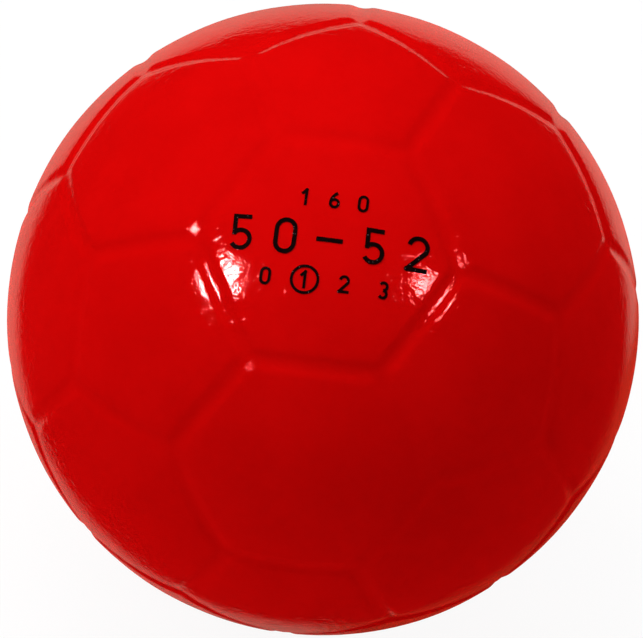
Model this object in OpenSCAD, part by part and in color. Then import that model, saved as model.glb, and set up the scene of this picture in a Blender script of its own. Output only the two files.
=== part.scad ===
// School handball of coated foam: a moulded foam core with a 32-panel channel pattern,
// a seal coat, a tough coloured skin and a printed size mark. +Z is a five-fold axis.

/* [Ball] */
// Diameter of the finished ball, over its panels
ball_d = 160; // [150:1:210]

/* [Panel channels] */
// Width of the soft channel between two panels, shoulder to shoulder
channel_w = 8; // [6:0.5:11]
// Depth of the channel below the panels
channel_depth = 0.5; // [0.3:0.1:1.2]

/* [Coats] */
// Thickness of the coloured elastic skin
skin_t = 1; // [0.6:0.1:2]
// Thickness of the coat that closes the foam's pores
seal_t = 0.3; // [0.2:0.05:0.6]
// Thickness of the printed ink
ink_t = 0.1; // [0.05:0.01:0.2]

/* [Size print] */
// Height of the numerals in the large row
large_h = 9; // [6:0.5:11]
// Height of the numerals in the two small rows
small_h = 4.4; // [3:0.2:6]
// Width of a pen stroke in the large row
large_pen = 1.1; // [0.6:0.1:1.4]
// Width of a pen stroke in the small rows
small_pen = 0.7; // [0.4:0.1:0.9]
// Distance from one large numeral to the next
large_pitch = 10.8; // [9:0.2:11]
// Distance from one numeral to the next in the top row
top_pitch = 7; // [5.5:0.5:10]
// Distance from one numeral to the next in the bottom row
bottom_pitch = 9.6; // [8:0.2:11]
// Clear space between two rows of the print
row_gap = 3.6; // [2.5:0.1:4.5]
// Space between a numeral and the ring that marks the ball's own size
ring_gap = 0.7; // [0.4:0.1:1]
// Height of the print's middle above the middle of its panel
print_lift = 2; // [0:0.5:3]

/* [Hidden] */
$fn = 64;

ball_r = ball_d / 2;
sealed_r = ball_r - skin_t;
core_r = sealed_r - seal_t;

// Steps of the surface mesh from a panel's centre to the channel, and down the channel's wall
SKIN_STEPS = [4, 2];
CORE_STEPS = [3, 1];

// ---- The panel pattern: a truncated icosahedron, 12 pentagons and 20 hexagons ----

function unit(v) = v / norm(v);
function on_sphere(az, el) = [cos(el) * cos(az), cos(el) * sin(az), sin(el)];

// Five-fold axes through the pentagons: the poles and two rings of five between them
ring_el = atan(1 / 2);
ring_step = 72;
first_az = 18;
AXES = concat(
    [[0, 0, 1]],
    [for (k = [0:4]) on_sphere(first_az + ring_step * k, ring_el)],
    [for (k = [0:4]) on_sphere(first_az + ring_step * (k + 0.5), -ring_el)],
    [[0, 0, -1]]
);

// Each hexagon lies between three neighbouring five-fold axes, listed anticlockwise from outside
TRIPLES = [for (k = [0:4]) let (m = (k + 1) % 5) each [
    [0, 1 + k, 1 + m],
    [1 + k, 6 + k, 1 + m],
    [6 + k, 6 + m, 1 + m],
    [11, 6 + m, 6 + k]
]];

// The hexagon that faces -Y above the ball's middle, between the top axis and two of the ring
PRINT_PANEL = [0, 4, 5];

// Corner of the pattern, a third of the way from axis a to axis b
function corner(a, b) = unit(2 * AXES[a] + AXES[b]);
function hexagon_centre(t) = unit(AXES[t[0]] + AXES[t[1]] + AXES[t[2]]);

// A panel is cut into sectors, each from its centre to one side: [centre, left, right, sides]
function pentagon_sector(a, b, c) = [AXES[a], corner(a, b), corner(a, c), 5];
function hexagon_sectors(t) = [for (i = [0:2])
    let (a = t[i], b = t[(i + 1) % 3], c = t[(i + 2) % 3], h = hexagon_centre(t))
    each [[h, corner(a, b), corner(b, a), 6], [h, corner(b, a), corner(b, c), 6]]
];
SECTORS = [for (t = TRIPLES) each concat(
    hexagon_sectors(t),
    [for (i = [0:2]) pentagon_sector(t[i], t[(i + 1) % 3], t[(i + 2) % 3])]
)];

// Angles from a panel's centre to its corners and to the middle of its sides
function corner_cos(sides) = let (s = sides == 5 ? AXES[0] : hexagon_centre(TRIPLES[0])) s * corner(0, 1);
side_half = acos(corner(0, 1) * corner(1, 0)) / 2;
function side_angle(sides) = acos(corner_cos(sides) / cos(side_half));

// ---- One closed surface with the channels pressed into it ----

// Share of the way from a panel's centre to its side at which row i of the mesh lies
function row_share(i, r, sides, steps) =
    let (a = side_angle(sides), half_channel = channel_w / 2 / r * 180 / PI)
    min(1, i / steps[0]) * tan(a - half_channel * wall_left(i, steps)) / tan(a);

// How much of the channel's half width is left at row i: 1 at the shoulder, 0 at its middle
function wall_left(i, steps) = min(1, 1 - (i - steps[0]) / steps[1]);

// The channel's section is a raised cosine, so it has a round bottom and round shoulders
function row_radius(i, r, steps) = r - channel_depth * (1 + cos(180 * wall_left(i, steps))) / 2;

function row_points(sector, i, r, share, steps) =
    let (middle = sector[0] * corner_cos(sector[3]))
    [for (j = [0:i])
        let (side = i == 0 ? [0, 0, 0] : (sector[1] * (i - j) + sector[2] * j) * (share / i))
        unit(middle * (1 - share) + side) * row_radius(i, r, steps)
    ];

function sector_points(sector, r, shares, steps) =
    [for (i = [0:len(shares) - 1]) each row_points(sector, i, r, shares[i], steps)];

// Triangles of one sector whose first point is number p: row i starts at i(i+1)/2
function sector_faces(p, rows) = [for (i = [1:rows])
    let (top = p + i * (i - 1) / 2, low = p + i * (i + 1) / 2)
    for (j = [0:i - 1]) each concat(
        [[top + j, low + j + 1, low + j]],
        j == 0 ? [] : [[top + j - 1, top + j, low + j]]
    )
];

module panelled_ball(r, steps) {
    rows = steps[0] + steps[1];
    per_sector = (rows + 1) * (rows + 2) / 2;
    shares = [for (sides = [5, 6]) [for (i = [0:rows]) row_share(i, r, sides, steps)]];
    polyhedron(
        points = [for (s = SECTORS) each sector_points(s, r, shares[s[3] - 5], steps)],
        faces = [for (k = [0:len(SECTORS) - 1]) each sector_faces(k * per_sector, rows)]
    );
}

// ---- Numerals: strokes of a flat pen, standing on y = 0 and centred on x = 0 ----

// Outer width of a round numeral as a share of its height
ROUND_W = 0.62;

// A straight stroke from point a to point b, half a pen longer at each end
module stroke(a, b, pen) {
    d = b - a;
    translate(a) rotate(atan2(d.y, d.x)) translate([-pen / 2, -pen / 2]) square([norm(d) + pen, pen]);
}

// A round stroke about c from one angle to another, anticlockwise
module bow(c, r, from, to, pen) {
    steps = ceil((to - from) / 60);
    reach = 2 * (r + pen);
    translate(c) intersection() {
        difference() {
            circle(r + pen / 2);
            circle(r - pen / 2);
        }
        polygon(concat([[0, 0]], [for (i = [0:steps])
            let (a = from + (to - from) * i / steps) reach * [cos(a), sin(a)]
        ]));
    }
}

function around(c, r, a) = c + r * [cos(a), sin(a)];

// The digits that the print uses. The pen's centre line runs from low to high, and a round
// part of half width wide or small sits against one of them.
module digit(n, h, pen) {
    low = pen / 2;
    high = h - pen / 2;
    wide = (ROUND_W * h - pen) / 2;
    small = (high - low) / 4;
    upper = [0, high - wide];
    lower = [0, low + wide];
    if (n == 0) {
        bow(upper, wide, 0, 180, pen);
        bow(lower, wide, 180, 360, pen);
        for (side = [-wide, wide])
            translate([side - pen / 2, lower.y]) square([pen, upper.y - lower.y]);
    }
    if (n == 1) {
        flag = wide * 0.8;
        stroke([0, low], [0, high], pen);
        stroke([-flag, high - flag], [0, high], pen);
    }
    if (n == 2) {
        leave = -35;
        bow(upper, wide, leave, 170, pen);
        stroke(around(upper, wide, leave), [-wide, low], pen);
        stroke([-wide, low], [wide, low], pen);
    }
    if (n == 3) {
        hook = 150;
        bow([0, high - small], small, -90, hook, pen);
        bow([0, low + small], small, -hook, 90, pen);
    }
    if (n == 5) {
        join = 135;
        tail = -150;
        back = [-wide * 0.75, high];
        stroke(back, [-back.x, high], pen);
        stroke(back, around(lower, wide, join), pen);
        bow(lower, wide, tail, join, pen);
    }
    if (n == 6) {
        rise = 62;
        sweep = (high - lower.y) / sin(rise);
        bow(lower, wide, 0, 360, pen);
        bow(lower + [sweep - wide, 0], sweep, 180 - rise, 180, pen);
    }
}

// A row of digits, evenly spaced and centred on x = 0
module digit_row(digits, h, pen, pitch) {
    for (i = [0:len(digits) - 1])
        translate([(i - (len(digits) - 1) / 2) * pitch, 0]) digit(digits[i], h, pen);
}

// The print laid flat: diameter in millimetres, girth in centimetres, and a scale of ball
// sizes with a ring around this ball's own
DIAMETER_ROW = [1, 6, 0];
GIRTH_FROM = [5, 0];
GIRTH_TO = [5, 2];
SIZE_ROW = [0, 1, 2, 3];
OWN_SIZE = 1;

module girth_row() {
    pair_at = 1.5 * large_pitch;
    dash = large_pitch / 4;
    translate([-pair_at, -large_h / 2]) digit_row(GIRTH_FROM, large_h, large_pen, large_pitch);
    stroke([-dash, 0], [dash, 0], large_pen);
    translate([pair_at, -large_h / 2]) digit_row(GIRTH_TO, large_h, large_pen, large_pitch);
}

module size_row() {
    own_x = (OWN_SIZE - (len(SIZE_ROW) - 1) / 2) * bottom_pitch;
    ring_r = small_h / 2 + ring_gap + small_pen / 2;
    digit_row(SIZE_ROW, small_h, small_pen, bottom_pitch);
    bow([own_x, small_h / 2], ring_r, 0, 360, small_pen);
}

module flat_print() {
    row_y = large_h / 2 + row_gap;
    translate([0, row_y]) digit_row(DIAMETER_ROW, small_h, small_pen, top_pitch);
    girth_row();
    translate([0, -row_y - small_h]) size_row();
}

// ---- The pieces, from the inside out ----

module foam_core() {
    color("#efe6c8") panelled_ball(core_r, CORE_STEPS);
}

module seal_coat() {
    color("#d8d8d2") difference() {
        panelled_ball(sealed_r, CORE_STEPS);
        panelled_ball(core_r, CORE_STEPS);
    }
}

module skin() {
    color("#d40000") difference() {
        panelled_ball(ball_r, SKIN_STEPS);
        panelled_ball(sealed_r, CORE_STEPS);
    }
}

module size_print() {
    panel_el = asin(hexagon_centre(PRINT_PANEL).z);
    print_el = panel_el + print_lift / ball_r * 180 / PI;
    color("#101010") intersection() {
        difference() {
            sphere(ball_r + ink_t);
            sphere(ball_r);
        }
        rotate([90 - print_el, 0, 0]) linear_extrude(ball_r + 2 * ink_t) flat_print();
    }
}

foam_core();
seal_coat();
skin();
size_print();
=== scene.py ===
import logging
import math
from dataclasses import dataclass, field
from enum import Enum

import bmesh
import bpy
import numpy as np
from mathutils import Matrix, Vector
from mathutils.geometry import delaunay_2d_cdt


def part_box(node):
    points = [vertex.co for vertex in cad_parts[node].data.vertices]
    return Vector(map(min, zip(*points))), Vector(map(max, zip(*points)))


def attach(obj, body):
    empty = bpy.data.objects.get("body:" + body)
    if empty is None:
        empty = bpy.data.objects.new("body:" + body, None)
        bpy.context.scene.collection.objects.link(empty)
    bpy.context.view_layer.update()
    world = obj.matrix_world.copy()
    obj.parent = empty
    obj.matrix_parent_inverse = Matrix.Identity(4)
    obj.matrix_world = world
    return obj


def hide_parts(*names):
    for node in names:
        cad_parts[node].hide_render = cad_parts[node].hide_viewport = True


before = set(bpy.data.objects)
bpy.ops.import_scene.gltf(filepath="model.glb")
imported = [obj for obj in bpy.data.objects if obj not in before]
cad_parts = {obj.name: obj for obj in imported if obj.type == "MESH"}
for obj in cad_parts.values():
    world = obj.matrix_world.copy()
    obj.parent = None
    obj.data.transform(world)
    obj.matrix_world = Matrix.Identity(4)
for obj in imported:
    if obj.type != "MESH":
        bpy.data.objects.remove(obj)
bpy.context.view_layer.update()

# A school handball of coated foam: foam core, seal coat, glossy red skin and a printed size mark.
#
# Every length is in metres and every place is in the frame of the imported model, whose origin is
# the ball's centre and whose +Z is a five-fold axis of the panel pattern. A surface is a pair: its
# points, one row each, and its triangles of point numbers, anticlockwise from outside.

LOG = logging.getLogger("handball")
MM = 0.001

Points = np.ndarray
Surface = tuple[Points, Points]
Colour = tuple[float, float, float]
Socket = bpy.types.NodeSocket
Number = float | Socket
Inputs = dict[str | int, object]

WHITE: Colour = (1.0, 1.0, 1.0)


# ---------------------------------------------------------------- meshes


def unit(vectors: Points) -> Points:
    """Returns the vectors scaled to length 1, along their last axis."""
    return vectors / np.linalg.norm(vectors, axis=-1, keepdims=True)


def make_object(name: str, points: Points, triangles: Points, smooth: bool = True) -> bpy.types.Object:
    """Makes an object at the origin from a surface.

    Args:
        name: The piece's name.
        points: The surface's points.
        triangles: Its triangles.
        smooth: Whether the surface is shaded smooth.

    Returns:
        The new object, linked to the scene.
    """
    mesh = bpy.data.meshes.new(name)
    mesh.from_pydata(points.tolist(), [], triangles.tolist())
    mesh.polygons.foreach_set("use_smooth", np.full(len(triangles), smooth))
    mesh.update()
    piece = bpy.data.objects.new(name, mesh)
    bpy.context.scene.collection.objects.link(piece)
    return piece


def merge_doubles(points: Points, triangles: Points, reach: float) -> Surface:
    """Joins points of a surface that lie within reach of each other.

    Args:
        points: The surface's points.
        triangles: Its triangles.
        reach: The largest distance between two points that become one.

    Returns:
        The surface with the points that are left.
    """
    mesh = bpy.data.meshes.new("merge")
    mesh.from_pydata(points.tolist(), [], triangles.tolist())
    work = bmesh.new()
    work.from_mesh(mesh)
    bmesh.ops.remove_doubles(work, verts=work.verts, dist=reach)
    work.to_mesh(mesh)
    work.free()
    kept = np.empty(len(mesh.vertices) * 3)
    mesh.vertices.foreach_get("co", kept)
    corners = np.empty(len(mesh.loops), np.int32)
    mesh.loops.foreach_get("vertex_index", corners)
    bpy.data.meshes.remove(mesh)
    return kept.reshape(-1, 3), corners.reshape(-1, 3)


def triangle_grid(rows: int) -> tuple[Points, Points, Points]:
    """Numbers the points of a triangular grid whose row i, counted from 0, has i + 1 points.

    Each point but those of the last row spans a triangle with the two points below it, and one
    with its neighbour in the row and the point below them both.

    Args:
        rows: Number of the last row.

    Returns:
        Each point's row, its place in the row, and the triangles.
    """
    row = np.repeat(np.arange(rows + 1), np.arange(rows + 1) + 1)
    number = np.arange(len(row))
    place = number - row * (row + 1) // 2
    below = number + row + 1
    inside = row < rows
    down = np.stack([number, below, below + 1], 1)[inside]
    up = np.stack([number, below + 1, number + 1], 1)[inside & (place < row)]
    return row, place, np.vstack([down, up])


def shell(outer: Surface, inner: Surface) -> Surface:
    """Joins an outer surface and an inner one, turned to face the hollow, into one closed wall."""
    points = np.vstack([outer[0], inner[0]])
    return points, np.vstack([outer[1], inner[1][:, ::-1] + len(outer[0])])


# ---------------------------------------------------------------- the panel pattern


class Panel(Enum):
    """The two kinds of panel, by their number of sides."""

    PENTAGON = 5
    HEXAGON = 6


@dataclass(frozen=True)
class PanelPattern:
    """A truncated icosahedron on the sphere: 12 pentagons on five-fold axes, 20 hexagons between them.

    Attributes:
        ring_elevation: Elevation of the upper ring of axes, and depth of the lower one.
        ring_step: Angle from one axis of a ring to the next.
        first_azimuth: Azimuth of the upper ring's first axis.
    """

    ring_elevation: float = math.atan(1 / 2)
    ring_step: float = math.radians(72)
    first_azimuth: float = math.radians(18)

    def axes(self) -> Points:
        """Lists the 12 five-fold axes.

        Returns:
            Unit vectors: the top, two rings of five and the bottom.
        """
        azimuth = self.first_azimuth + self.ring_step * np.concatenate([np.arange(5), np.arange(5) + 0.5])
        elevation = self.ring_elevation * np.repeat([1, -1], 5)
        level = np.cos(elevation)
        rings = np.stack([level * np.cos(azimuth), level * np.sin(azimuth), np.sin(elevation)], 1)
        return np.vstack([[0, 0, 1], rings, [0, 0, -1]])

    def triples(self) -> Points:
        """Lists the axes around each hexagon.

        Returns:
            20 rows of three axis numbers, anticlockwise from outside.
        """
        k = np.arange(5)
        m = (k + 1) % 5
        top, bottom = np.zeros(5, int), np.full(5, 11)
        rows = [[top, 1 + k, 1 + m], [1 + k, 6 + k, 1 + m], [6 + k, 6 + m, 1 + m], [bottom, 6 + m, 6 + k]]
        return np.array(rows).transpose(2, 0, 1).reshape(-1, 3)

    def sectors(self, panel: Panel) -> tuple[Points, Points, Points]:
        """Cuts the panels of one kind into sectors, each from a panel's centre to one of its sides.

        A corner of the pattern lies a third of the way from one axis to the next.

        Args:
            panel: The kind of panel.

        Returns:
            Directions to the centre, the left end and the right end of each side.
        """
        axes, triples = self.axes(), self.triples()
        turns = np.concatenate([triples, np.roll(triples, -1, 1), np.roll(triples, -2, 1)])
        a, b, c = (axes[turns[:, i]] for i in range(3))
        if panel is Panel.PENTAGON:
            return a, unit(2 * a + b), unit(2 * a + c)
        middle = unit(a + b + c)
        left = np.vstack([unit(2 * a + b), unit(2 * b + a)])
        right = np.vstack([unit(2 * b + a), unit(2 * b + c)])
        return np.vstack([middle, middle]), left, right

    def seams(self) -> tuple[Points, Points]:
        """Finds the 90 seams, where two panels meet.

        A seam is the side of two sectors, so the sides are told apart by their rounded middles.

        Returns:
            Directions to the one end of each seam and to the other.
        """
        ends = [self.sectors(panel)[1:] for panel in Panel]
        left, right = (np.vstack([pair[i] for pair in ends]) for i in range(2))
        middle = np.round(unit(left + right), 6)
        _, first = np.unique(middle + 0.0, axis=0, return_index=True)
        return left[first], right[first]

    def seam_angle(self, directions: Points, blend: float) -> Points:
        """Finds how far each direction is from the nearest seam, as an angle.

        The distance to one seam is the angle to its nearest point, which is the direction's foot on
        the seam's great circle, held between the seam's ends. The 90 distances are joined by a
        smooth minimum, minus blend times the logarithm of the sum of exp(-distance / blend), which
        rounds the corners where channels meet.

        Args:
            directions: Unit vectors, one row each.
            blend: Width of the smooth minimum, as an angle.

        Returns:
            One angle for each direction, never below 0.
        """
        total = np.zeros(len(directions))
        for left, right in zip(*self.seams()):
            middle = unit(left + right)
            along = unit(right - left)
            half = math.acos(float(left @ middle))
            turn = np.clip(np.arctan2(directions @ along, directions @ middle), -half, half)[:, None]
            foot = middle * np.cos(turn) + along * np.sin(turn)
            apart = 2 * np.arcsin(np.clip(np.linalg.norm(directions - foot, axis=1) / 2, 0, 1))
            total += np.exp(-apart / blend)
        return np.maximum(-blend * np.log(total), 0)

    def hexagon_elevation(self) -> float:
        """Returns the elevation of the centre of a hexagon that touches the top pentagon."""
        axes, triples = self.axes(), self.triples()
        return math.asin(float(unit(axes[triples[0]].sum(0))[2]))


@dataclass(frozen=True)
class Channel:
    """The soft channel between two panels, with a round bottom and round shoulders.

    Attributes:
        width: Width from shoulder to shoulder.
        depth: Depth below the panels.
        corner_blend: How far the corners where three channels meet are rounded.
    """

    width: float = 7.4 * MM
    depth: float = 0.54 * MM
    corner_blend: float = 0.1 * MM

    def depth_at(self, distance: Points) -> Points:
        """Returns the depth at a distance from the seam: two parabolas that meet at half depth."""
        share = np.clip(distance / (self.width / 2), 0, 1)
        return self.depth * np.where(share < 0.5, 1 - 2 * share**2, 2 * (1 - share) ** 2)


@dataclass(frozen=True)
class Unevenness:
    """Slow waves in the surface, a sum of plane waves with seeded directions and phases.

    Attributes:
        height: Height of the waves, as the root of their mean square times the root of two.
        crest: How many heights the surface is lowered by, so that the crests stay inside the ball.
        shortest: Shortest wave.
        longest: Longest wave.
        waves: Number of waves.
        seed: Seed of their directions, lengths and phases.
    """

    height: float = 0.05 * MM
    crest: float = 2.0
    shortest: float = 16 * MM
    longest: float = 45 * MM
    waves: int = 28
    seed: int = 11

    def at(self, points: Points) -> Points:
        """Adds up the waves: each is the sine of the place along its direction, times 2 pi over its length.

        Args:
            points: Places, one row each.

        Returns:
            The height at each place, about zero on average.
        """
        rng = np.random.default_rng(self.seed)
        heading = unit(rng.normal(size=(self.waves, 3)))
        length = rng.uniform(self.shortest, self.longest, self.waves)
        phase = rng.uniform(0, 2 * math.pi, self.waves)
        waves = np.sin(points @ (heading * (2 * math.pi / length)[:, None]).T + phase)
        return self.height * waves.sum(1) / math.sqrt(self.waves)


@dataclass(frozen=True)
class PanelledBall:
    """Makes a closed surface of any radius with the channels pressed into it.

    Attributes:
        pattern: The panels.
        channel: The channel along each seam.
        unevenness: The waves over all of it.
        same_direction: The distance within which two unit vectors are one.
    """

    pattern: PanelPattern = field(default_factory=PanelPattern)
    channel: Channel = field(default_factory=Channel)
    unevenness: Unevenness = field(default_factory=Unevenness)
    same_direction: float = 1e-5

    def directions(self, panel: Panel, radius: float, rows: tuple[int, int]) -> Surface:
        """Spreads a triangular grid over each sector of one kind of panel.

        A row's points are evenly spaced between the two lines from the panel's centre to its
        corners. The rows are evenly spaced over the flat of the panel, and evenly spaced again,
        and closer, from the channel's shoulder to its middle.

        Args:
            panel: The kind of panel.
            radius: Radius of the ball.
            rows: Number of rows on the flat and in half of the channel.

        Returns:
            Unit vectors, and triangles of their numbers.
        """
        centre, left, right = self.pattern.sectors(panel)
        corner_cos = float(centre[0] @ left[0])
        side_half = math.acos(float(left[0] @ right[0])) / 2
        side = math.acos(corner_cos / math.cos(side_half))
        flat, wall = rows
        row, place, triangles = triangle_grid(flat + wall)
        number = np.arange(flat + wall + 1)
        wall_left = np.clip(1 - (number - flat) / wall, 0, 1)
        reach = np.tan(side - self.channel.width / 2 / radius * wall_left) / math.tan(side)
        share = (np.clip(number / flat, 0, 1) * reach)[row]
        to_right = share * place / np.maximum(row, 1)
        to_left = share - to_right
        grid = (
            centre[:, None] * (corner_cos * (1 - share))[:, None]
            + left[:, None] * to_left[:, None]
            + right[:, None] * to_right[:, None]
        )
        first = np.arange(len(centre)) * len(row)
        return unit(grid).reshape(-1, 3), (triangles + first[:, None, None]).reshape(-1, 3)

    def surface(self, radius: float, rows: tuple[int, int]) -> Surface:
        """Makes the whole surface: each direction times the radius, less the channel, plus the waves.

        Args:
            radius: Radius over the panels.
            rows: Number of rows on the flat and in half of the channel.

        Returns:
            The surface.
        """
        pentagons, hexagons = (self.directions(panel, radius, rows) for panel in Panel)
        away = np.vstack([pentagons[0], hexagons[0]])
        faces = np.vstack([pentagons[1], hexagons[1] + len(pentagons[0])])
        away, triangles = merge_doubles(away, faces, self.same_direction)
        away = unit(away)
        angle = self.pattern.seam_angle(away, self.channel.corner_blend / radius)
        sunk = self.channel.depth_at(angle * radius)
        waves = self.unevenness.at(away * radius)
        height = radius - sunk + waves - self.unevenness.height * self.unevenness.crest
        return away * height[:, None], triangles


# ---------------------------------------------------------------- numerals


def arc(centre: tuple[float, float], radius: float, start: float, end: float, step: float = 6) -> Points:
    """Lays points along a round stroke.

    Args:
        centre: Centre of the arc.
        radius: Its radius.
        start: Angle of its start, in degrees.
        end: Angle of its end.
        step: The largest angle from one point to the next.

    Returns:
        Flat points, one row each.
    """
    turn = np.radians(np.linspace(start, end, max(2, math.ceil(abs(end - start) / step)) + 1))
    return np.array(centre) + radius * np.stack([np.cos(turn), np.sin(turn)], 1)


@dataclass(frozen=True)
class Pen:
    """A flat pen that draws square-ended strokes whose edges are a little uneven.

    Attributes:
        width: Width of a stroke.
        step: Length of the pieces that a stroke is cut into.
        unevenness: How far an edge strays, as a share of half the width.
        heading: How fast the edge's waves run along x and along y, per width.
        waves: The rate and the shift of each of them.
    """

    width: float
    step: float = 0.5 * MM
    unevenness: float = 0.05
    heading: tuple[float, float] = (2.1, 1.3)
    waves: tuple[tuple[float, float], ...] = ((2.3, 0.0), (5.9, 1.0))

    def stroke(self, line: Points, square_ends: bool = False) -> list[Points]:
        """Cuts a stroke into four-cornered pieces.

        The line is cut into equal steps, and each cut reaches half a pen's width to either side,
        times one plus a small sum of sines of its place, so that the edge is uneven.

        Args:
            line: Points of the pen's middle line.
            square_ends: Whether the ends reach half a pen's width further.

        Returns:
            Pieces, each with four points, anticlockwise.
        """
        if square_ends:
            first, last = unit(line[0] - line[1]), unit(line[-1] - line[-2])
            reach = self.width / 2
            line = np.vstack([line[0] + first * reach, line[1:-1], line[-1] + last * reach])
        spans = np.linalg.norm(np.diff(line, axis=0), axis=1)
        place = np.concatenate([[0], np.cumsum(spans)])
        at = np.linspace(0, place[-1], max(2, math.ceil(place[-1] / self.step)) + 1)
        middle = np.stack([np.interp(at, place, line[:, k]) for k in range(2)], 1)
        ahead = unit(np.gradient(middle, axis=0))
        if np.allclose(line[0], line[-1], atol=self.step / 100):
            ahead[0] = ahead[-1] = unit(middle[1] - middle[-2])
        side = np.stack([-ahead[:, 1], ahead[:, 0]], 1)
        edges = []
        for hand in (1, -1):
            phase = (middle / self.width) @ np.array(self.heading) + hand
            sines = sum(np.sin(rate * phase + shift) for rate, shift in self.waves)
            rough = self.unevenness * sines / len(self.waves)
            edges.append(middle + hand * side * (self.width / 2 * (1 + rough))[:, None])
        left, right = edges
        return list(np.stack([right[:-1], right[1:], left[1:], left[:-1]], 1))


@dataclass(frozen=True)
class Numerals:
    """Draws digits that stand on y = 0 and are centred on x = 0.

    Attributes:
        height: Height of a digit.
        pen: The pen.
        round_width: Outer width of a round digit as a share of its height.
    """

    height: float
    pen: Pen
    round_width: float = 0.62

    def digit(self, number: int) -> list[Points]:
        """Draws one digit as straight strokes and arcs of the pen's middle line.

        The line runs from low to high, and a round part of half width wide or small sits against
        one of them.

        Args:
            number: One of 0, 1, 2, 3, 5 and 6.

        Returns:
            Four-cornered pieces that overlap where strokes meet.
        """
        width = self.pen.width
        low, high = width / 2, self.height - width / 2
        wide = (self.round_width * self.height - width) / 2
        small = (high - low) / 4
        upper, lower = (0, high - wide), (0, low + wide)
        lines: list[tuple[Points, bool]] = []
        if number == 0:
            lines += [(arc(upper, wide, 0, 180), False), (arc(lower, wide, 180, 360), False)]
            lines += [(np.array([[x, lower[1]], [x, upper[1]]]), False) for x in (-wide, wide)]
        elif number == 1:
            flag = wide * 0.8
            lines += [(np.array([[0, low], [0, high]]), True)]
            lines += [(np.array([[-flag, high - flag], [0, high]]), True)]
        elif number == 2:
            hook, leave = 170, -35
            bowl = arc(upper, wide, hook, leave)
            lines += [(bowl, False), (np.array([bowl[-1], [-wide, low]]), True)]
            lines += [(np.array([[-wide, low], [wide, low]]), True)]
        elif number == 3:
            hook = 150
            lines += [(arc((0, high - small), small, hook, -90), False)]
            lines += [(arc((0, low + small), small, 90, -hook), False)]
        elif number == 5:
            join, tail = 135, -150
            back = (-wide * 0.75, high)
            bowl = arc(lower, wide, join, tail)
            lines += [(np.array([back, (-back[0], high)]), True), (np.array([back, bowl[0]]), True)]
            lines += [(bowl, False)]
        elif number == 6:
            rise = 62
            sweep = (high - lower[1]) / math.sin(math.radians(rise))
            lines += [(arc(lower, wide, 0, 360), False)]
            lines += [(arc((sweep - wide, lower[1]), sweep, 180, 180 - rise), False)]
        return [piece for line, ends in lines for piece in self.pen.stroke(line, ends)]

    def row(self, digits: tuple[int, ...], pitch: float, middle: float = 0.0) -> list[Points]:
        """Draws digits side by side, pitch apart, about a middle."""
        places = (np.arange(len(digits)) - (len(digits) - 1) / 2) * pitch + middle
        return [piece + (x, 0) for n, x in zip(digits, places) for piece in self.digit(n)]


# ---------------------------------------------------------------- node trees


class Ray(Enum):
    """The kinds of ray that the studio tells apart, by their socket on the Light Path node."""

    CAMERA = "Is Camera Ray"
    GLOSSY = "Is Glossy Ray"
    TRANSMISSION = "Is Transmission Ray"


class Graph:
    """Adds nodes to a tree and joins them, with short calls."""

    def __init__(self, tree: bpy.types.NodeTree) -> None:
        """Starts on an emptied tree."""
        self.tree = tree
        tree.nodes.clear()

    def add(self, kind: str, values: Inputs | None = None, **settings: object) -> bpy.types.Node:
        """Adds a node.

        Args:
            kind: The node's type, without its ShaderNode prefix.
            values: For each input, by name or number, a value or another node's output.
            settings: The node's own properties, which are set first.

        Returns:
            The node.
        """
        node = self.tree.nodes.new("ShaderNode" + kind)
        for name, value in settings.items():
            setattr(node, name, value)
        for key, value in (values or {}).items():
            if isinstance(value, Socket):
                self.tree.links.new(value, node.inputs[key])
            else:
                node.inputs[key].default_value = value
        return node

    def group(self, tree: bpy.types.NodeTree, values: Inputs) -> Socket:
        """Adds a node group with its input values and returns its one output."""
        return self.add("Group", values, node_tree=tree).outputs[0]

    def math(self, operation: str, first: Number, second: Number = 0.0, clamp: bool = False) -> Socket:
        """Adds a Math node and returns its output."""
        return self.add("Math", {0: first, 1: second}, operation=operation, use_clamp=clamp).outputs[0]

    def mix(self, share: Socket, first: Socket | Colour, second: Socket | Colour) -> Socket:
        """Adds a mix of two colours and returns its output.

        Args:
            share: The second colour's share, from 0 to 1.
            first: The colour where the share is 0, or a node's output.
            second: The colour where the share is 1, or a node's output.

        Returns:
            The mixed colour.
        """
        ends = [end if isinstance(end, Socket) else (*end, 1) for end in (first, second)]
        return self.add("Mix", {0: share, 6: ends[0], 7: ends[1]}, data_type="RGBA").outputs[2]

    def blend(self, share: Socket, first: bpy.types.Node, second: bpy.types.Node) -> bpy.types.Node:
        """Adds a mix of two shaders' nodes, in which the share is the second one's, and returns it."""
        return self.add("MixShader", {0: share, 1: first.outputs[0], 2: second.outputs[0]})

    def ramp(self, value: Socket, start: float, end: float, low: float = 0.0, high: float = 1.0) -> Socket:
        """Adds a smooth step from low, up to start, to high, from end on, and returns its output."""
        values = {"Value": value, "From Min": start, "From Max": end, "To Min": low, "To Max": high}
        return self.add("MapRange", values, interpolation_type="SMOOTHSTEP").outputs["Result"]

    def noise(
        self, where: Socket, per_metre: Number, detail: float = 2.0, roughness: float = 0.5, curl: float = 0.0
    ) -> Socket:
        """Adds a Noise texture.

        Args:
            where: The place to read it at.
            per_metre: How often it goes up and down in a metre.
            detail: How many finer noises are added.
            roughness: How strong each is beside the one before it.
            curl: How far the noise is bent, which hides the lattice that it is built on.

        Returns:
            Its value, about 0.5 on average.
        """
        values = {
            "Vector": where,
            "Scale": per_metre,
            "Detail": detail,
            "Roughness": roughness,
            "Distortion": curl,
        }
        return self.add("TexNoise", values).outputs["Fac"]

    def object_place(self) -> Socket:
        """Returns the point's place in the object's own coordinates."""
        return self.add("TexCoord").outputs["Object"]


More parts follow.
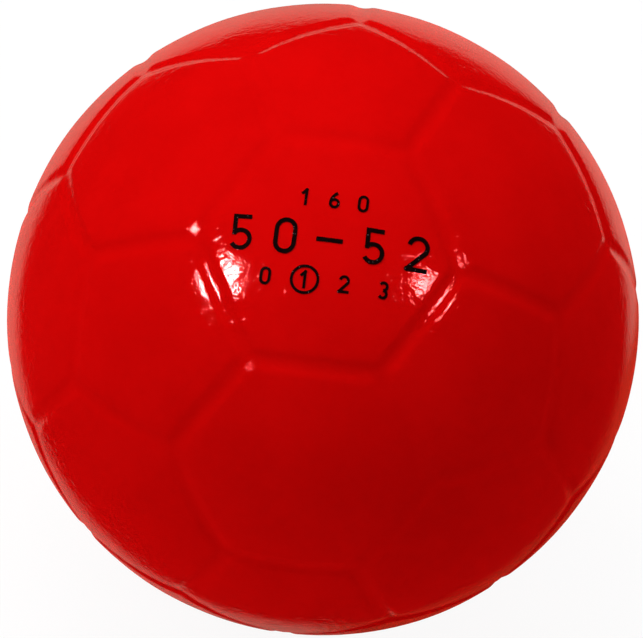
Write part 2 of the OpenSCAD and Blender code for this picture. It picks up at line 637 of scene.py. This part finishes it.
def new_group(name: str, inputs: dict[str, str], output: tuple[str, str]) -> tuple[Graph, dict[str, Socket]]:
    """Starts a shader node group.

    Args:
        name: The group's name.
        inputs: Socket types by name, without their NodeSocket prefix.
        output: Name and type of its one output.

    Returns:
        The group's graph, and its inputs by name.
    """
    tree = bpy.data.node_groups.new(name, "ShaderNodeTree")
    for socket, kind in inputs.items():
        tree.interface.new_socket(name=socket, in_out="INPUT", socket_type="NodeSocket" + kind)
    tree.interface.new_socket(name=output[0], in_out="OUTPUT", socket_type="NodeSocket" + output[1])
    graph = Graph(tree)
    start = tree.nodes.new("NodeGroupInput")
    return graph, {socket: start.outputs[socket] for socket in inputs}


def close_group(graph: Graph, result: Socket) -> bpy.types.NodeTree:
    """Joins the result to the group's output and returns its tree."""
    graph.tree.links.new(result, graph.tree.nodes.new("NodeGroupOutput").inputs[0])
    return graph.tree


def ripple_group() -> bpy.types.NodeTree:
    """Builds the waves and the orange peel that a sprayed coat dries with.

    The height in millimetres is wave height times a slow noise, plus peel height times a fine
    noise, plus a share of it times a grain that is finer still. The peel's strength comes and goes
    in patches twice as wide as the waves. Peel and grain are bent, so that no lattice shows.

    Returns:
        The group, with the height as its output.
    """
    curl, fineness, grain_share = 0.8, 4.0, 0.06
    weakest = 0.6
    sizes = {name: "Float" for name in ("Wave Size", "Wave Height", "Peel Size", "Peel Height")}
    graph, given = new_group("coat ripple", {"Place": "Vector", **sizes}, ("Height", "Float"))
    place = given["Place"]
    wave = graph.noise(place, graph.math("DIVIDE", 1.0, given["Wave Size"]), roughness=0.45)
    peel = graph.noise(place, graph.math("DIVIDE", 1.0, given["Peel Size"]), 3.0, 0.55, curl)
    patch = graph.noise(place, graph.math("DIVIDE", 1 / 2, given["Wave Size"]))
    strength = graph.ramp(patch, 0.42, 0.66, weakest)
    waves = graph.math("MULTIPLY", wave, given["Wave Height"])
    peels = graph.math("MULTIPLY", graph.math("MULTIPLY", peel, strength), given["Peel Height"])
    grain = graph.noise(place, graph.math("DIVIDE", fineness, given["Peel Size"]), curl=curl)
    grains = graph.math("MULTIPLY", graph.math("MULTIPLY", grain, given["Peel Height"]), grain_share)
    return close_group(graph, graph.math("ADD", graph.math("ADD", waves, peels), grains))


def speck_group() -> bpy.types.NodeTree:
    """Builds scattered round specks: pinholes, pores or dust nibs.

    Space is cut into cells about Spacing wide, and a speck is drawn within Size of the middle of
    those cells whose own random number is below Share. Its mask rises to 1 over the outer part of
    that way, so that its edge is soft.

    Returns:
        The group, with a mask from 0 to 1 as its output.
    """
    outer_part = 0.6
    sizes = {name: "Float" for name in ("Spacing", "Size", "Share")}
    graph, given = new_group("specks", {"Place": "Vector", **sizes}, ("Mask", "Float"))
    scale = graph.math("DIVIDE", 1.0, given["Spacing"])
    cells = graph.add("TexVoronoi", {"Vector": given["Place"], "Scale": scale}, feature="F1")
    reach = graph.math("DIVIDE", given["Size"], given["Spacing"])
    near = graph.math("SUBTRACT", 1.0, graph.math("DIVIDE", cells.outputs["Distance"], reach), clamp=True)
    lucky = graph.add("SeparateColor", {"Color": cells.outputs["Color"]}).outputs["Red"]
    chosen = graph.math("LESS_THAN", lucky, given["Share"])
    return close_group(graph, graph.math("MULTIPLY", graph.ramp(near, 0.0, outer_part), chosen))


def mottle_group() -> bpy.types.NodeTree:
    """Builds a soft cloudy mix of two colours, by a noise with five finer ones in it.

    Returns:
        The group, with the mixed colour as its output.
    """
    inputs = {"Place": "Vector", "Light": "Color", "Dark": "Color", "Size": "Float"}
    graph, given = new_group("mottle", inputs, ("Color", "Color"))
    per_metre = graph.math("DIVIDE", 1.0, given["Size"])
    cloud = graph.noise(given["Place"], per_metre, detail=5.0, roughness=0.65)
    return close_group(graph, graph.mix(graph.ramp(cloud, 0.35, 0.65), given["Light"], given["Dark"]))


@dataclass(frozen=True)
class SharedEffects:
    """The node groups that several finishes use, each built once."""

    ripple: bpy.types.NodeTree = field(default_factory=ripple_group)
    specks: bpy.types.NodeTree = field(default_factory=speck_group)
    mottle: bpy.types.NodeTree = field(default_factory=mottle_group)


# ---------------------------------------------------------------- the finishes


@dataclass(frozen=True)
class CoatFinish:
    """A sprayed or printed coat: cloudy colour, ripple, and specks that are nibs or pinholes; on the ink they
    are coloured pale as painted glints.

    Attributes:
        name: The material's name.
        light: The lighter colour of the clouds.
        dark: Their darker colour.
        speck_and_glint: Colour of the specks.
        roughness: Least and greatest roughness, which change in patches a third of a cloud wide.
        cloud: Width of the clouds.
        wave: Width and height of the slow waves.
        peel: Width and height of the orange peel.
        specks: Distance between places for a speck, a speck's radius, and the share of places in use.
        speck_height: Height of the specks, below 0 for pits.
        specular: Level of the mirror reflection, 0.5 for the whole of it.
        tint: Colour of the mirror reflection where it is seen head-on.
        sheen: Weight and roughness of the soft glow that the coat gives at a slant.
        sheen_tint: Colour of that glow.
    """

    name: str
    light: Colour
    dark: Colour
    speck_and_glint: Colour
    roughness: tuple[float, float]
    cloud: float
    wave: tuple[float, float]
    peel: tuple[float, float]
    specks: tuple[float, float, float]
    speck_height: float
    specular: float = 0.5
    tint: Colour = WHITE
    sheen: tuple[float, float] = (0.0, 0.5)
    sheen_tint: Colour = WHITE

    def material(self, effects: SharedEffects) -> bpy.types.Material:
        """Builds the finish: one Principled shader fed by the shared effects.

        Args:
            effects: The shared node groups.

        Returns:
            The material.
        """
        material = bpy.data.materials.new(self.name)
        material.use_nodes = True
        graph = Graph(material.node_tree)
        place = graph.object_place()
        spacing, size, share = self.specks
        speck_and_glint = graph.group(
            effects.specks,
            {"Place": place, "Spacing": spacing, "Size": size, "Share": share},
        )
        cloud = graph.group(
            effects.mottle,
            {"Place": place, "Light": (*self.light, 1), "Dark": (*self.dark, 1), "Size": self.cloud},
        )
        ripple = graph.group(
            effects.ripple,
            {
                "Place": place,
                "Wave Size": self.wave[0],
                "Wave Height": self.wave[1] / MM,
                "Peel Size": self.peel[0],
                "Peel Height": self.peel[1] / MM,
            },
        )
        height = graph.math("ADD", ripple, graph.math("MULTIPLY", speck_and_glint, self.speck_height / MM))
        bump = graph.add("Bump", {"Strength": 1.0, "Distance": MM, "Height": height})
        matte = graph.ramp(graph.noise(place, 1 / (self.cloud / 3)), 0.3, 0.7, *self.roughness)
        shader = graph.add(
            "BsdfPrincipled",
            {
                # The specks take their own colour, which on the ink is pale and paints glints of the lamps.
                "Base Color": graph.mix(speck_and_glint, cloud, self.speck_and_glint),
                "Roughness": matte,
                "IOR": 1.5,
                "Specular IOR Level": self.specular,
                "Specular Tint": (*self.tint, 1),
                "Sheen Weight": self.sheen[0],
                "Sheen Roughness": self.sheen[1],
                "Sheen Tint": (*self.sheen_tint, 1),
                "Normal": bump.outputs["Normal"],
            },
        )
        graph.add("OutputMaterial", {"Surface": shader.outputs[0]})
        return material


RED_SKIN = CoatFinish(
    name="red_elastic_skin",
    light=(0.62, 0.0015, 0.0015),
    dark=(0.575, 0.0012, 0.0012),
    speck_and_glint=(0.64, 0.004, 0.004),
    roughness=(0.008, 0.025),
    cloud=28 * MM,
    wave=(7 * MM, 0.06 * MM),
    peel=(2.0 * MM, 0.14 * MM),
    specks=(3.2 * MM, 0.22 * MM, 0.14),
    speck_height=0.03 * MM,
    tint=(0.9, 0.1, 0.1),
    sheen=(1.0, 0.3),
    sheen_tint=(1.0, 0.01, 0.01),
)
SEAL = CoatFinish(
    name="grey_pore_seal",
    light=(0.64, 0.64, 0.6),
    dark=(0.56, 0.56, 0.52),
    speck_and_glint=(0.5, 0.48, 0.42),
    roughness=(0.35, 0.5),
    cloud=14 * MM,
    wave=(7 * MM, 0.05 * MM),
    peel=(1.4 * MM, 0.02 * MM),
    specks=(1.6 * MM, 0.25 * MM, 0.3),
    speck_height=-0.08 * MM,
)
FOAM = CoatFinish(
    name="cream_moulded_foam",
    light=(0.84, 0.75, 0.54),
    dark=(0.76, 0.66, 0.44),
    speck_and_glint=(0.52, 0.42, 0.25),
    roughness=(0.85, 0.95),
    cloud=18 * MM,
    wave=(5 * MM, 0.12 * MM),
    peel=(0.7 * MM, 0.12 * MM),
    specks=(0.8 * MM, 0.3 * MM, 0.7),
    speck_height=-0.2 * MM,
)
INK = CoatFinish(
    name="black_ink",
    light=(0.006, 0.001, 0.001),
    dark=(0.003, 0.0005, 0.0005),
    # Pale specks: painted glints of the lamps on the ink's grain, laid in its pits.
    speck_and_glint=(0.3, 0.2, 0.2),
    roughness=(0.55, 0.7),
    cloud=3 * MM,
    wave=(2 * MM, 0.01 * MM),
    peel=(0.35 * MM, 0.012 * MM),
    specks=(0.5 * MM, 0.12 * MM, 0.16),
    speck_height=-0.03 * MM,
    specular=0.005,
)


# ---------------------------------------------------------------- the pieces


def fit(box: tuple[Vector, Vector], points: Points) -> float:
    """Finds how much points have to shrink about the origin to lie inside a box.

    Args:
        box: The box's lowest and highest corner.
        points: Places, one row each.

    Returns:
        The factor, at most 1.
    """
    reach = np.abs(points).max(0)
    room = np.minimum(-np.array(box[0]), np.array(box[1]))
    return float(min(1.0, (room / reach).min()))


def settle(piece: bpy.types.Object, node: str, material: bpy.types.Material) -> None:
    """Gives a piece its material, hangs it under the root body and hides the CAD node that it stands for.

    Args:
        piece: The piece.
        node: The CAD node.
        material: The finish.
    """
    piece.data.materials.append(material)
    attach(piece, "root")
    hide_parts(node)
    LOG.info("%s: %d triangles, %s", piece.name, len(piece.data.polygons), material.name)


@dataclass
class CoatedBall:
    """The moulded core and the two coats over it, as three closed pieces that lie face to face.

    Attributes:
        radius: Radius over the panels.
        skin_thickness: Thickness of the coloured elastic skin.
        seal_thickness: Thickness of the coat that closes the foam's pores.
        form: Shape of the core and of each coat.
        skin_rows: Rows of the skin's outer mesh on a panel's flat and in half of a channel.
        inner_rows: The same for the surfaces under it.
    """

    radius: float
    skin_thickness: float = 1.0 * MM
    seal_thickness: float = 0.3 * MM
    form: PanelledBall = field(default_factory=PanelledBall)
    skin_rows: tuple[int, int] = (9, 15)
    inner_rows: tuple[int, int] = (7, 6)

    def build(self, box: tuple[Vector, Vector]) -> tuple[dict[str, bpy.types.Object], float]:
        """Builds the three pieces, each inside the next.

        Args:
            box: The box that the skin has to stay in.

        Returns:
            The pieces by the CAD node that they replace, and the factor that fits them in the box.
        """
        sealed = self.radius - self.skin_thickness
        core = sealed - self.seal_thickness
        outer = self.form.surface(self.radius, self.skin_rows)
        middle = self.form.surface(sealed, self.inner_rows)
        inner = self.form.surface(core, self.inner_rows)
        factor = fit(box, outer[0])
        walls = {"foam_core": inner, "seal_coat": shell(middle, inner), "skin": shell(outer, middle)}
        pieces = {node: make_object(node + "_form", p * factor, t) for node, (p, t) in walls.items()}
        return pieces, factor

    def dress(self, pieces: dict[str, bpy.types.Object], effects: SharedEffects) -> None:
        """Gives each piece its finish and its place in the frame.

        Args:
            pieces: The pieces by CAD node.
            effects: The shared node groups.
        """
        plan = {
            "foam_core": (FOAM, "core_foam"),
            "seal_coat": (SEAL, "pore_seal"),
            "skin": (RED_SKIN, "red_skin"),
        }
        for node, (finish, slot) in plan.items():
            settle(pieces[node], node, finish.material(effects))


@dataclass
class SizePrint:
    """The printed size mark: rows of plain numerals as a thin layer of ink on one hexagon.

    Attributes:
        radius: Radius of the ball over its panels.
        thickness: How far the ink stands above that radius.
        sunk: How far its underside lies below it.
        large_height: Height of the numerals in the middle row.
        small_height: Height of the numerals in the two other rows.
        large_pen: Pen of the middle row.
        small_pen: Pen of the other rows.
        large_pitch: Distance from one numeral to the next in the middle row.
        top_pitch: The same in the top row.
        bottom_pitch: The same in the bottom row.
        row_gap: Clear space between two rows.
        ring_gap: Space between a numeral and the ring around it.
        lift: Height of the print's middle above the middle of its panel.
        diameter_row: The top row: the ball's diameter in millimetres.
        girth_from: The middle row's left half: the least girth in centimetres.
        girth_to: Its right half: the greatest girth.
        size_row: The bottom row: a scale of ball sizes.
        own_size: Which of them has the ring.
    """

    radius: float
    thickness: float = 0.1 * MM
    sunk: float = 0.03 * MM
    large_height: float = 9 * MM
    small_height: float = 4.4 * MM
    large_pen: Pen = Pen(1.1 * MM)
    small_pen: Pen = Pen(0.7 * MM)
    large_pitch: float = 10.8 * MM
    top_pitch: float = 7 * MM
    bottom_pitch: float = 9.6 * MM
    row_gap: float = 3.6 * MM
    ring_gap: float = 0.7 * MM
    lift: float = 2 * MM
    diameter_row: tuple[int, ...] = (1, 6, 0)
    girth_from: tuple[int, ...] = (5, 0)
    girth_to: tuple[int, ...] = (5, 2)
    size_row: tuple[int, ...] = (0, 1, 2, 3)
    own_size: int = 1

    def flat(self) -> list[Points]:
        """Lays the print out flat, with the middle row about y = 0 and a dash between its halves.

        Returns:
            Four-cornered pieces, anticlockwise.
        """
        large = Numerals(self.large_height, self.large_pen)
        small = Numerals(self.small_height, self.small_pen)
        row_y = self.large_height / 2 + self.row_gap
        pair = 1.5 * self.large_pitch
        dash = self.large_pitch / 4
        half = np.array([0, self.large_height / 2])
        own_x = (self.own_size - (len(self.size_row) - 1) / 2) * self.bottom_pitch
        ring = self.small_height / 2 + self.ring_gap + self.small_pen.width / 2
        low = np.array([0, row_y + self.small_height])
        pieces = [p + (0, row_y) for p in small.row(self.diameter_row, self.top_pitch)]
        pieces += [p - half for p in large.row(self.girth_from, self.large_pitch, -pair)]
        pieces += self.large_pen.stroke(np.array([[-dash, 0], [dash, 0]]), True)
        pieces += [p - half for p in large.row(self.girth_to, self.large_pitch, pair)]
        pieces += [p - low for p in small.row(self.size_row, self.bottom_pitch)]
        circle = arc((own_x, self.small_height / 2), ring, 0, 360)
        pieces += [p - low for p in self.small_pen.stroke(circle)]
        return pieces

    def outline(self) -> tuple[Points, Points]:
        """Joins the overlapping pieces of the strokes into one triangulated flat shape.

        A constrained triangulation cuts the pieces where they cross, and the triangles that lie
        in at least one of them are kept.

        Returns:
            Flat points, and triangles, anticlockwise.
        """
        inner_triangles, smallest_gap = 1, 1e-4
        corners = np.concatenate(self.flat()) / MM
        faces = np.arange(len(corners)).reshape(-1, 4)
        points, _, found, _, _, origin = delaunay_2d_cdt(
            corners.tolist(), [], faces.tolist(), inner_triangles, smallest_gap
        )
        kept = [face for face, source in zip(found, origin) if source]
        return np.array(points) * MM, np.array(kept)

    def build(self, pattern: PanelPattern, factor: float) -> bpy.types.Object:
        """Wraps the flat shape onto the ball as a closed layer of ink.

        A flat point (x, y) goes straight down onto the ball: its height is the root of
        radius squared less x squared less y squared. The sheet is then tipped up to its panel.
        The layer has a wall along each side of a triangle that no other triangle runs along the
        other way.

        Args:
            pattern: The panel pattern.
            factor: The factor that the ball was scaled by.

        Returns:
            The piece.
        """
        flat, triangles = self.outline()
        elevation = pattern.hexagon_elevation() + self.lift / self.radius
        tip = np.array(Matrix.Rotation(math.pi / 2 - elevation, 3, "X"))
        layers = []
        for radius in (self.radius + self.thickness, self.radius - self.sunk):
            up = np.sqrt(radius**2 - (flat**2).sum(1))
            layers.append(np.column_stack([flat, up]) @ tip.T)
        count = len(flat)
        sides = np.vstack([triangles[:, [0, 1]], triangles[:, [1, 2]], triangles[:, [2, 0]]])
        there, back = sides @ (count, 1), sides @ (1, count)
        rim = sides[~np.isin(there, back)]
        a, b = rim[:, 0], rim[:, 1]
        wall = np.vstack([np.stack([a, a + count, b], 1), np.stack([b, a + count, b + count], 1)])
        faces = np.vstack([triangles, triangles[:, ::-1] + count, wall])
        points = np.vstack(layers) * factor
        used, renumbered = np.unique(faces, return_inverse=True)
        return make_object("size_print_ink", points[used], renumbered.reshape(-1, 3), smooth=False)


# ---------------------------------------------------------------- the studio


@dataclass(frozen=True)
class Camera:
    """The camera, in front of the print and above it, a little rolled.

    Attributes:
        azimuth: Angle from -Y, anticlockwise seen from above.
        elevation: Angle above the level.
        roll: Turn about the line of sight, anticlockwise for the camera.
        distance: Distance from the ball's centre.
        lens: Focal length in millimetres.
        aim_right: How far its line of sight passes to the right of the centre.
        aim_up: How far it passes above the centre.
        farthest: The farthest distance that it sees.
    """

    azimuth: float = math.radians(0.79)
    elevation: float = math.radians(40.08)
    roll: float = math.radians(6.75)
    distance: float = 1.792
    lens: float = 396.2
    aim_right: float = -0.34 * MM
    aim_up: float = 0.14 * MM
    farthest: float = 100.0

    def axes(self) -> Points:
        """Works out the camera's own directions.

        Returns:
            Its right, up and backward directions as rows.
        """
        azimuth, turn = self.azimuth, math.cos(self.elevation)
        level = Vector((math.cos(azimuth), math.sin(azimuth), 0))
        back = Vector((math.sin(azimuth) * turn, -math.cos(azimuth) * turn, math.sin(self.elevation)))
        upright = back.cross(level)
        right = level * math.cos(self.roll) + upright * math.sin(self.roll)
        return np.array([right, back.cross(right), back])

    def build(self) -> None:
        """Makes the camera and sets it as the scene's own."""
        data = bpy.data.cameras.new("camera")
        data.lens = self.lens
        data.clip_end = self.farthest
        camera = bpy.data.objects.new("camera", data)
        right, up, back = (Vector(axis) for axis in self.axes())
        place = right * self.aim_right + up * self.aim_up + back * self.distance
        camera.matrix_world = Matrix((
            (right.x, up.x, back.x, place.x),
            (right.y, up.y, back.y, place.y),
            (right.z, up.z, back.z, place.z),
            (0, 0, 0, 1),
        ))
        bpy.context.scene.collection.objects.link(camera)
        bpy.context.scene.camera = camera


@dataclass(frozen=True)
class Lamp:
    """A rectangular softbox that faces the ball.

    Attributes:
        name: The lamp's name.
        azimuth: Its direction in degrees clockwise from +Y, seen from above.
        elevation: Its direction in degrees above the level.
        radiance: Its brightness.
        distance: Distance from the ball's centre.
        size: Its width and height.
        glossy: Whether it lights only mirrors, where others light everything else.
        shadow: Whether things stand in its light.
    """

    name: str
    azimuth: float
    elevation: float
    radiance: float
    distance: float = 1.3
    size: tuple[float, float] = (0.6, 0.6)
    glossy: bool = False
    shadow: bool = True

    def build(self) -> None:
        """Makes the lamp. Its power is its radiance times its area times pi."""
        data = bpy.data.lights.new(self.name, "AREA")
        data.shape = "RECTANGLE"
        data.size, data.size_y = self.size
        data.energy = self.radiance * self.size[0] * self.size[1] * math.pi
        data.use_shadow = self.shadow
        lamp = bpy.data.objects.new(self.name, data)
        azimuth, elevation = math.radians(self.azimuth), math.radians(self.elevation)
        level = math.cos(elevation)
        direction = Vector((math.sin(azimuth) * level, math.cos(azimuth) * level, math.sin(elevation)))
        aim = direction.to_track_quat("Z", "Y").to_matrix()
        lamp.matrix_world = Matrix.Translation(direction * self.distance) @ aim.to_4x4()
        lamp.visible_camera = False
        lamp.visible_glossy = self.glossy
        lamp.visible_diffuse = not self.glossy
        bpy.context.scene.collection.objects.link(lamp)


@dataclass(frozen=True)
class Studio:
    """A pale floor and a surround that are white to the camera, lit by softboxes.

    Mirrors see a pale sweep, an ellipse of directions about an axis that points behind the ball
    and down, in a dark room. A ring of weak lamps behind the ball lights it from all round.

    Attributes:
        radius: Radius of the ball, which is the depth of the floor.
        ambient: Strength of the plain light from everywhere.
        sweep_axis: Azimuth from +Y and elevation of the sweep's middle.
        sweep_reach: Its half angles, level and upright.
        sweep_edge: Between which shares of the reach its edge fades in.
        sweep_glow: Its brightness below and above.
        glow_span: Between which shares of the upright reach that changes.
        shade_strength: Brightness of the shaded sector as a share of the rest.
        shade_span: Between which leans to the lower right the shade sets in.
        sweep_colour: Colour of the sweep.
        shade_colour: Colour of the shaded sector.
        floor_reach: Half the width of the floor.
        floor_white: The share of the floor's white that glows, so that the rest shows the shadow.
        floor_albedo: How white the floor is to every ray but the camera's.
        fade: Between which distances the shadow fades out.
        lamps: The softboxes.
        rim_tilt: Angle between the camera's direction and the ring's lamps, at the ball.
        rim_lights: Radiance of each lamp of the ring.
    """

    radius: float
    ambient: float = 0.22
    sweep_axis: tuple[float, float] = (math.radians(-2), math.radians(-35))
    sweep_reach: tuple[float, float] = (math.radians(36.5), math.radians(39.5))
    sweep_edge: tuple[float, float] = (1.02, 0.82)
    sweep_glow: tuple[float, float] = (0.36, 0.64)
    glow_span: tuple[float, float] = (-0.6, 0.4)
    shade_strength: float = 0.32
    shade_span: tuple[float, float] = (1.05, 1.24)
    sweep_colour: Colour = (1.0, 0.8, 0.63)
    shade_colour: Colour = (1.0, 0.4, 0.15)
    floor_reach: float = 20.0
    floor_white: float = 0.93
    floor_albedo: float = 0.82
    fade: tuple[float, float] = (0.3, 0.9)
    lamps: tuple[Lamp, ...] = (
        Lamp("key", 240, 45, 5.3),
        Lamp("left_fill", 300, 65, 5.2),
        Lamp("right_fill", 90, 65, 2.2),
        Lamp("top_light", 0, 89, 3.9),
        Lamp("left_shine", 229.1, 39.9, 420.0, 1.5, (0.145, 0.27), glossy=True),
        Lamp("right_shine", 128.4, 45.6, 210.0, 1.5, (0.1, 0.18), glossy=True),
    )
    rim_tilt: float = math.radians(122)
    rim_lights: tuple[float, ...] = (2.8, 2.6, 1.9, 1.5, 2.2, 2.6, 0.9, 1.8)

    def sweep(self, graph: Graph, where: Socket) -> tuple[Socket, Socket]:
        """Adds the brightness and the colour of the sweep.

        A direction's shares along the sweep's level and upright directions are divided by the
        sines of its half angles. Where the root of the sum of their squares is below 1, and the
        direction points to the sweep's side, it lies in the sweep. The sweep is brighter above
        than below. Its lower right lies in a warm shade: where the level share less the upright
        one, over that root, is large.

        Args:
            graph: The tree to add to.
            where: The direction to test.

        Returns:
            The sweep's brightness in that direction, 0 outside it, and its colour.
        """
        turn, rise = self.sweep_axis
        wide, tall = (math.sin(reach) for reach in self.sweep_reach)
        axis = Vector((math.sin(turn) * math.cos(rise), math.cos(turn) * math.cos(rise), math.sin(rise)))
        level = Vector((math.cos(turn), -math.sin(turn), 0))
        ray = graph.add("VectorMath", {0: where}, operation="NORMALIZE").outputs[0]
        across, along, ahead = (
            graph.add("VectorMath", {0: ray, 1: way}, operation="DOT_PRODUCT").outputs["Value"]
            for way in (level / wide, level.cross(axis) / tall, axis)
        )
        squares = (graph.math("MULTIPLY", share, share) for share in (across, along))
        out = graph.math("SQRT", graph.math("ADD", *squares))
        inside = graph.ramp(out, *self.sweep_edge)
        edge = graph.math("MULTIPLY", inside, graph.math("GREATER_THAN", ahead, 0.0))
        lean = graph.math("DIVIDE", graph.math("SUBTRACT", across, along), out)
        shaded = graph.ramp(lean, *self.shade_span)
        shade = graph.ramp(shaded, 0.0, 1.0, 1.0, self.shade_strength)
        glow = graph.ramp(along, *self.glow_span, *self.sweep_glow)
        brightness = graph.math("MULTIPLY", edge, graph.math("MULTIPLY", glow, shade))
        return brightness, graph.mix(shaded, self.sweep_colour, self.shade_colour)

    def world(self) -> None:
        """Makes the surround: white to the camera, the sweep to mirrors, plain light to the rest."""
        world = bpy.data.worlds.new("surround")
        bpy.context.scene.world = world
        world.use_nodes = True
        graph = Graph(world.node_tree)
        rays = graph.add("LightPath").outputs
        mirror = graph.math("MAXIMUM", rays[Ray.GLOSSY.value], rays[Ray.TRANSMISSION.value])
        shine, colour = self.sweep(graph, graph.add("TexCoord").outputs["Generated"])
        mirrored = graph.add("Background", {"Color": colour, "Strength": shine})
        plain, white = (
            graph.add("Background", {"Color": (*WHITE, 1), "Strength": strength})
            for strength in (self.ambient, 1.0)
        )
        whole = graph.blend(rays[Ray.CAMERA.value], graph.blend(mirror, plain, mirrored), white)
        graph.add("OutputWorld", {"Surface": whole.outputs[0]})

    def floor_material(self) -> bpy.types.Material:
        """Makes the floor's finish.

        The camera sees it white, with the ball's shadow near the ball: a glow of floor_white plus a
        share of matt white that the lamps light, and further out a glow of 1. From below it is
        clear. Every other ray sees matt white.

        Returns:
            The material.
        """
        material = bpy.data.materials.new("pale_floor")
        material.use_nodes = True
        graph = Graph(material.node_tree)
        camera = graph.add("LightPath").outputs[Ray.CAMERA.value]
        far = graph.add("VectorMath", {0: graph.object_place()}, operation="LENGTH").outputs["Value"]
        share = 1 - self.floor_white
        glow = graph.add("Emission", {"Strength": self.floor_white})
        shaded = graph.add("BsdfDiffuse", {"Color": (share, share, share, 1)})
        near = graph.add("AddShader", {0: glow.outputs[0], 1: shaded.outputs[0]})
        away = graph.add("Emission", {"Strength": 1.0})
        seen = graph.blend(graph.ramp(far, *self.fade), near, away)
        matt = graph.add("BsdfDiffuse", {"Color": (self.floor_albedo,) * 3 + (1,)})
        under = graph.math("MULTIPLY", graph.add("NewGeometry").outputs["Backfacing"], camera)
        whole = graph.blend(under, graph.blend(camera, matt, seen), graph.add("BsdfTransparent"))
        graph.add("OutputMaterial", {"Surface": whole.outputs[0]})
        return material

    def floor(self) -> None:
        """Makes the floor, a level square just under the ball, through which mirrors see the sweep."""
        corners = np.array([(-1, -1), (1, -1), (1, 1), (-1, 1)]) * self.floor_reach
        points = np.column_stack([corners, np.full(4, -self.radius)])
        floor = make_object("floor", points, np.array([(0, 1, 2), (0, 2, 3)]), smooth=False)
        floor.data.materials.append(self.floor_material())
        floor.visible_glossy = False
        floor.visible_transmission = False

    def rim_lamps(self, axes: Points) -> list[Lamp]:
        """Lists the lamps of the ring behind the ball.

        The ring runs anticlockwise from the camera's right. The lamps cast no shadow, so those
        under the floor shine through it.

        Args:
            axes: The camera's right, up and backward directions as rows.

        Returns:
            The lamps.
        """
        turns = np.linspace(0, 2 * math.pi, len(self.rim_lights), endpoint=False)
        out = math.sin(self.rim_tilt)
        lean = np.full(len(turns), math.cos(self.rim_tilt))
        ways = np.column_stack([out * np.cos(turns), out * np.sin(turns), lean]) @ axes
        azimuths = np.degrees(np.arctan2(ways[:, 0], ways[:, 1]))
        elevations = np.degrees(np.arcsin(ways[:, 2]))
        ring = enumerate(zip(azimuths, elevations, self.rim_lights))
        return [
            Lamp(f"rim_light_{number}", float(azimuth), float(elevation), radiance, shadow=False)
            for number, (azimuth, elevation, radiance) in ring
        ]

    def build(self, axes: Points) -> None:
        """Makes the surround, the floor and the lamps.

        Args:
            axes: The camera's right, up and backward directions as rows.
        """
        self.world()
        self.floor()
        for lamp in (*self.lamps, *self.rim_lamps(axes)):
            lamp.build()


def main() -> None:
    """Builds the ball, the print and the studio."""
    logging.basicConfig(level=logging.INFO, format="%(message)s")
    effects = SharedEffects()
    low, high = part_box("skin")
    radius = (high.z - low.z) / 2
    ball = CoatedBall(radius)
    pieces, factor = ball.build((low, high))
    ball.dress(pieces, effects)
    ink = SizePrint(radius).build(ball.form.pattern, factor)
    settle(ink, "size_print", INK.material(effects))
    camera = Camera()
    camera.build()
    Studio(radius).build(camera.axes())
    bpy.context.scene.view_settings.view_transform = "Standard"


if __name__ == "__main__":
    main()
